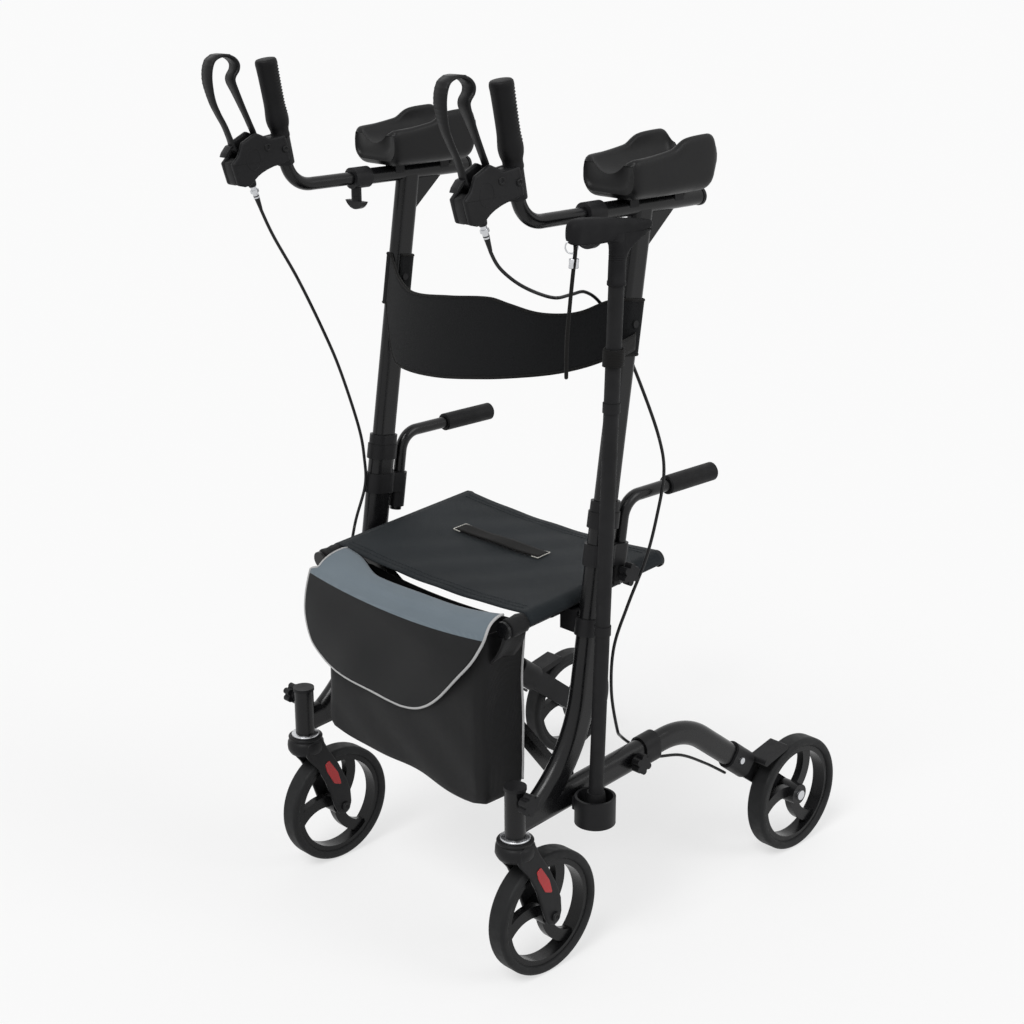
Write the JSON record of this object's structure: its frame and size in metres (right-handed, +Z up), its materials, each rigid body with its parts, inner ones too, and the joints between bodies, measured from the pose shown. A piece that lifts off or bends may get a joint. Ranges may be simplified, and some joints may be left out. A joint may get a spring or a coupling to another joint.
{
  "type": "upright walker",
  "caption": "Folding upright walker with forearm rests, loop brake levers, swivelling front wheels, cloth seat, back strap, front bag and a cane in its holder.",
  "frame": {"origin": "on the floor, in the middle plane, midway between the front and rear axles", "axes": "+Z up, -Y the way the walker rolls forward, +X to the left of the person using it"},
  "size_m": [0.6324, 0.8566, 1.3423],
  "materials": {
    "frame_black": "gloss",
    "charcoal_plastic": "matte",
    "bright_steel": "satin",
    "grip_rubber": "matte",
    "wheel_tyre": "matte",
    "pad_foam": "satin",
    "cable_sheath": "satin",
    "seat_nylon": "matte",
    "bag_nylon": "matte",
    "strap_mesh": "matte",
    "webbing": "matte"
  },
  "bodies": {
    "left_frame": {"left_side_frame": "frame_black", "left_rear_leg": "frame_black", "left_rear_bracket": "charcoal_plastic", "left_frame_fittings": "charcoal_plastic", "left_frame_bolts": "bright_steel", "left_brake_cable": "cable_sheath", "cane_cup": "charcoal_plastic"},
    "right_frame": {"right_side_frame": "frame_black", "right_rear_leg": "frame_black", "right_rear_bracket": "charcoal_plastic", "right_frame_fittings": "charcoal_plastic", "right_frame_bolts": "bright_steel", "right_brake_cable": "cable_sheath"},
    "brace_a": {"brace_a": "frame_black"},
    "brace_b": {"brace_b": "frame_black"},
    "left_rail": {"left_seat_rail": "frame_black", "seat_sling": "seat_nylon", "carry_bag": "bag_nylon"},
    "right_rail": {"right_seat_rail": "frame_black"},
    "left_caster": {"left_caster_fork": "charcoal_plastic"},
    "left_front_wheel": {"left_front_wheel": "wheel_tyre"},
    "left_rear_wheel": {"left_rear_wheel": "wheel_tyre"},
    "left_brake_shoe": {"left_brake_shoe": "charcoal_plastic"},
    "left_arm": {"left_arm_frame": "frame_black", "left_arm_fittings": "charcoal_plastic", "left_forearm_pad": "pad_foam", "back_strap": "strap_mesh", "cane_loop": "webbing"},
    "left_handle": {"left_handle_tube": "frame_black", "left_hand_grip": "grip_rubber", "left_brake_housing": "charcoal_plastic", "left_brake_adjuster": "bright_steel"},
    "left_lever": {"left_brake_lever": "charcoal_plastic"},
    "left_assist": {"left_assist_handle": "frame_black", "left_assist_grip": "grip_rubber"},
    "left_caster_knob": {"left_caster_knob": "charcoal_plastic"},
    "left_leg_knob": {"left_leg_knob": "charcoal_plastic"},
    "left_reach_knob": {"left_reach_knob": "charcoal_plastic"},
    "left_assist_knob": {"left_assist_knob": "charcoal_plastic"},
    "right_caster": {"right_caster_fork": "charcoal_plastic"},
    "right_front_wheel": {"right_front_wheel": "wheel_tyre"},
    "right_rear_wheel": {"right_rear_wheel": "wheel_tyre"},
    "right_brake_shoe": {"right_brake_shoe": "charcoal_plastic"},
    "right_arm": {"right_arm_frame": "frame_black", "right_arm_fittings": "charcoal_plastic", "right_forearm_pad": "pad_foam"},
    "right_handle": {"right_handle_tube": "frame_black", "right_hand_grip": "grip_rubber", "right_brake_housing": "charcoal_plastic", "right_brake_adjuster": "bright_steel"},
    "right_lever": {"right_brake_lever": "charcoal_plastic"},
    "right_assist": {"right_assist_handle": "frame_black", "right_assist_grip": "grip_rubber"},
    "right_caster_knob": {"right_caster_knob": "charcoal_plastic"},
    "right_leg_knob": {"right_leg_knob": "charcoal_plastic"},
    "right_reach_knob": {"right_reach_knob": "charcoal_plastic"},
    "right_assist_knob": {"right_assist_knob": "charcoal_plastic"},
    "cane": {"cane_shaft": "frame_black", "cane_handle": "charcoal_plastic", "wrist_strap": "webbing"}
  },
  "joints": [
    {"name": "fold", "type": "hinge", "parent": "left_frame", "child": "brace_a", "pos_m": [0.221, -0.215, 0.28764], "axis": [0, 0.9962, 0.0872], "range_deg": [0, 28], "deforming": ["seat_sling", "carry_bag", "back_strap"]},
    {"name": "brace_cross", "type": "hinge", "parent": "brace_a", "child": "brace_b", "pos_m": [0, -0.22728, 0.42797], "axis": [0, 0.9962, 0.0872], "range_deg": [-56, 0]},
    {"name": "right_frame_fold", "type": "hinge", "parent": "brace_b", "child": "right_frame", "pos_m": [-0.221, -0.215, 0.28764], "axis": [0, 0.9962, 0.0872], "range_deg": [0, 28]},
    {"name": "right_rail_turn", "type": "hinge", "parent": "brace_a", "child": "right_rail", "pos_m": [-0.212, -0.23905, 0.56259], "axis": [0, 0.9962, 0.0872], "range_deg": [-28, 0]},
    {"name": "left_rail_turn", "type": "hinge", "parent": "brace_b", "child": "left_rail", "pos_m": [0.212, -0.23905, 0.56259], "axis": [0, 0.9962, 0.0872], "range_deg": [0, 28]},
    {"name": "left_caster_swivel", "type": "hinge", "parent": "left_frame", "child": "left_caster", "pos_m": [0.25, -0.348, 0.246], "axis": [0, 0, 1], "continuous": true},
    {"name": "left_front_wheel_spin", "type": "hinge", "parent": "left_caster", "child": "left_front_wheel", "pos_m": [0.25, -0.291, 0.1], "axis": [1, 0, 0], "continuous": true},
    {"name": "left_rear_wheel_spin", "type": "hinge", "parent": "left_frame", "child": "left_rear_wheel", "pos_m": [0.268, 0.291, 0.1], "axis": [1, 0, 0], "continuous": true},
    {"name": "left_arm_height", "type": "slide", "parent": "left_frame", "child": "left_arm", "axis": [0, 0.1513, 0.9885], "range_m": [-0.15, 0], "deforming": ["left_brake_cable", "cane_loop"]},
    {"name": "left_handle_reach", "type": "slide", "parent": "left_arm", "child": "left_handle", "axis": [0, -1, 0], "range_m": [-0.05, 0.05], "deforming": ["left_brake_cable"]},
    {"name": "left_lever_squeeze", "type": "hinge", "parent": "left_handle", "child": "left_lever", "pos_m": [0.25, -0.4064, 1.20428], "axis": [-1, 0, 0], "range_deg": [0, 10], "stiffness_Nm_per_rad": 2},
    {"name": "left_shoe_press", "type": "hinge", "parent": "left_frame", "child": "left_brake_shoe", "pos_m": [0.268, 0.20135, 0.18854], "axis": [-1, 0, 0], "range_deg": [0, 2.5]},
    {"name": "left_assist_height", "type": "slide", "parent": "left_frame", "child": "left_assist", "axis": [0, 0.1513, 0.9885], "range_m": [-0.02, 0.04]},
    {"name": "left_caster_knob_turn", "type": "hinge", "parent": "left_frame", "child": "left_caster_knob", "pos_m": [0.268, -0.348, 0.3068], "axis": [1, 0, 0], "continuous": true},
    {"name": "left_leg_knob_turn", "type": "hinge", "parent": "left_frame", "child": "left_leg_knob", "pos_m": [0.27, -0.1035, 0.28939], "axis": [1, 0, 0], "continuous": true},
    {"name": "left_assist_knob_turn", "type": "hinge", "parent": "left_frame", "child": "left_assist_knob", "pos_m": [0.268, -0.1393, 0.60861], "axis": [1, 0, 0], "continuous": true},
    {"name": "left_reach_knob_turn", "type": "hinge", "parent": "left_arm", "child": "left_reach_knob", "pos_m": [0.25, -0.206, 1.105], "axis": [0, 0, 1], "continuous": true},
    {"name": "right_caster_swivel", "type": "hinge", "parent": "right_frame", "child": "right_caster", "pos_m": [-0.25, -0.348, 0.246], "axis": [0, 0, 1], "continuous": true},
    {"name": "right_front_wheel_spin", "type": "hinge", "parent": "right_caster", "child": "right_front_wheel", "pos_m": [-0.25, -0.291, 0.1], "axis": [1, 0, 0], "continuous": true},
    {"name": "right_rear_wheel_spin", "type": "hinge", "parent": "right_frame", "child": "right_rear_wheel", "pos_m": [-0.268, 0.291, 0.1], "axis": [1, 0, 0], "continuous": true},
    {"name": "right_arm_height", "type": "slide", "parent": "right_frame", "child": "right_arm", "axis": [0, 0.1513, 0.9885], "range_m": [-0.15, 0], "deforming": ["right_brake_cable"]},
    {"name": "right_handle_reach", "type": "slide", "parent": "right_arm", "child": "right_handle", "axis": [0, -1, 0], "range_m": [-0.05, 0.05], "deforming": ["right_brake_cable"]},
    {"name": "right_lever_squeeze", "type": "hinge", "parent": "right_handle", "child": "right_lever", "pos_m": [-0.25, -0.4064, 1.20428], "axis": [-1, 0, 0], "range_deg": [0, 10], "stiffness_Nm_per_rad": 2},
    {"name": "right_shoe_press", "type": "hinge", "parent": "right_frame", "child": "right_brake_shoe", "pos_m": [-0.268, 0.20135, 0.18854], "axis": [-1, 0, 0], "range_deg": [0, 2.5]},
    {"name": "right_assist_height", "type": "slide", "parent": "right_frame", "child": "right_assist", "axis": [0, 0.1513, 0.9885], "range_m": [-0.02, 0.04]},
    {"name": "right_caster_knob_turn", "type": "hinge", "parent": "right_frame", "child": "right_caster_knob", "pos_m": [-0.268, -0.348, 0.3068], "axis": [1, 0, 0], "continuous": true},
    {"name": "right_leg_knob_turn", "type": "hinge", "parent": "right_frame", "child": "right_leg_knob", "pos_m": [-0.27, -0.1035, 0.28939], "axis": [1, 0, 0], "continuous": true},
    {"name": "right_assist_knob_turn", "type": "hinge", "parent": "right_frame", "child": "right_assist_knob", "pos_m": [-0.268, -0.1393, 0.60861], "axis": [1, 0, 0], "continuous": true},
    {"name": "right_reach_knob_turn", "type": "hinge", "parent": "right_arm", "child": "right_reach_knob", "pos_m": [-0.25, -0.206, 1.105], "axis": [0, 0, 1], "continuous": true},
    {"name": "cane_lift", "type": "slide", "parent": "left_frame", "child": "cane", "axis": [0.0244, 0.0105, 0.9996], "range_m": [0, 0.06]}
  ],
  "couplings": [
    {"joint": "brace_cross", "follows": "fold", "ratio": -2},
    {"joint": "right_frame_fold", "follows": "fold", "ratio": 1},
    {"joint": "right_rail_turn", "follows": "fold", "ratio": -1},
    {"joint": "left_rail_turn", "follows": "fold", "ratio": 1},
    {"joint": "left_shoe_press", "follows": "left_lever_squeeze", "ratio": 0.25},
    {"joint": "right_shoe_press", "follows": "right_lever_squeeze", "ratio": 0.25},
    {"joint": "right_arm_height", "follows": "left_arm_height", "ratio": 1}
  ]
}
